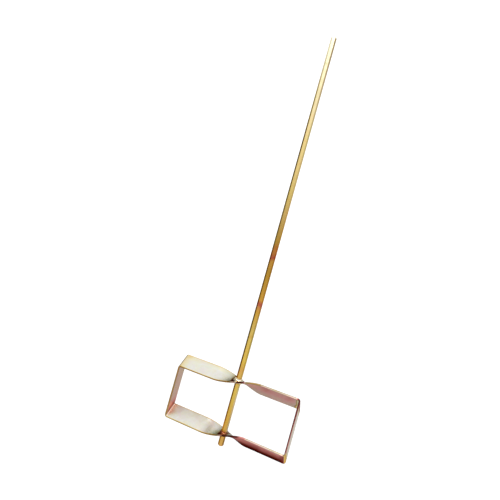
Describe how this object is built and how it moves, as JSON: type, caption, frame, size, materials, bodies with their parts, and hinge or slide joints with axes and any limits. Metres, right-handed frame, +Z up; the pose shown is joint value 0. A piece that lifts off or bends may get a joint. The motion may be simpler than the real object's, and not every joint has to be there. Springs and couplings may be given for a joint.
{
  "type": "mortar mixing paddle",
  "caption": "Drill-driven mortar mixing paddle: a long hexagonal steel shaft with two flat-bar rectangular loops, oppositely pitched, welded near its lower end, all yellow zinc plated.",
  "frame": {"origin": "centre of the shank's flat end face, at the end of the hexagonal shaft that goes into the drill chuck", "axes": "+Z up along the shaft towards the drill, +X towards the right loop, +Y away from the front; the loops stand in the XZ plane and the shaft hangs down to z = -0.7874 m"},
  "size_m": [0.2414, 0.032, 0.7874],
  "materials": {
    "shaft_plating": "yellow zinc chromate plate on cold-drawn hexagonal bar, glossy, gold with olive and orange-red patches",
    "loop_plating": "yellow zinc chromate plate on flat bar, glossy and iridescent, pale silver-gold shading to pink, mauve and dark red, gold along the edges",
    "weld_metal": "plated weld beads with fine ripples, olive brown and gold"
  },
  "bodies": {
    "root": {"hex_shaft": "shaft_plating", "left_loop": "loop_plating", "right_loop": "loop_plating", "upper_weld_top": "weld_metal", "upper_weld_under": "weld_metal", "lower_weld_top": "weld_metal", "lower_weld_under": "weld_metal", "upper_seam_weld": "weld_metal", "lower_seam_weld": "weld_metal"}
  },
  "joints": []
}
